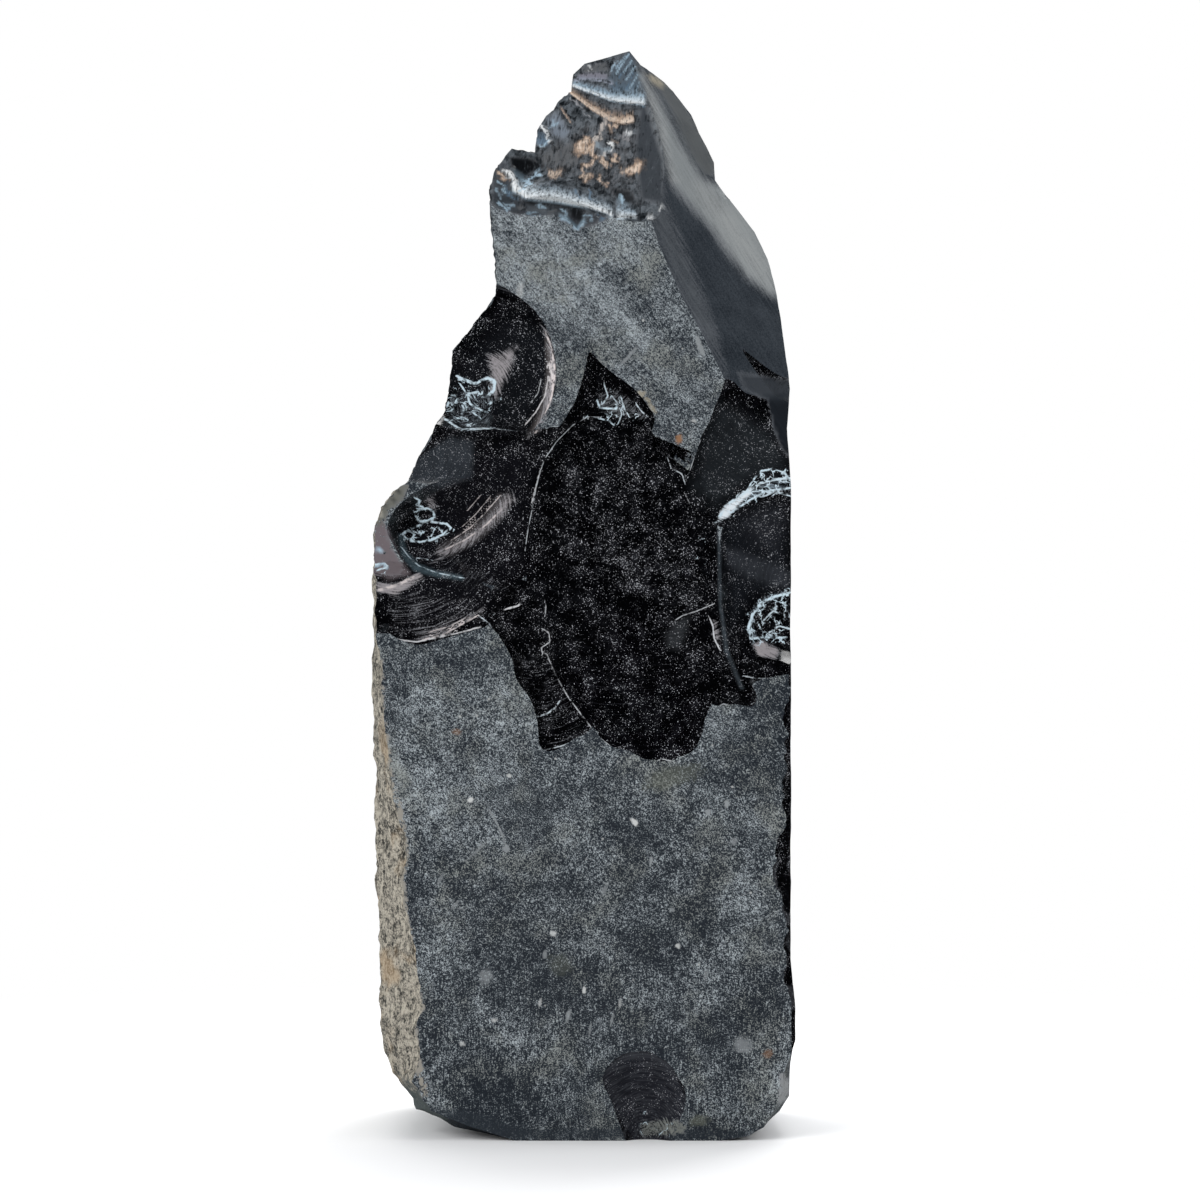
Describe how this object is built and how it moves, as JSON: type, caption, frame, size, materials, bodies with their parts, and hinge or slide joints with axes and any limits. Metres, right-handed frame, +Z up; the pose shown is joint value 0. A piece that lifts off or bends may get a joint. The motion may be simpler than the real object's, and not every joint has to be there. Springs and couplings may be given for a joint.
{
  "type": "obsidian chunk",
  "caption": "Tall broken block of black volcanic glass with a weathered front skin, fresh flake scars, a stony rind on one side and a hackly pointed top, standing on its flat base.",
  "frame": {"origin": "bottom centre of the bounding box, on the plane of the flat base", "axes": "+Z up along the block's long axis from its base to its point, -Y out of the flat weathered front skin, +X to the right of someone who faces that skin"},
  "size_m": [0.0943, 0.066, 0.2415],
  "materials": {
    "volcanic_glass": "satin"
  },
  "bodies": {
    "root": {"obsidian_chunk": "volcanic_glass"}
  },
  "joints": []
}
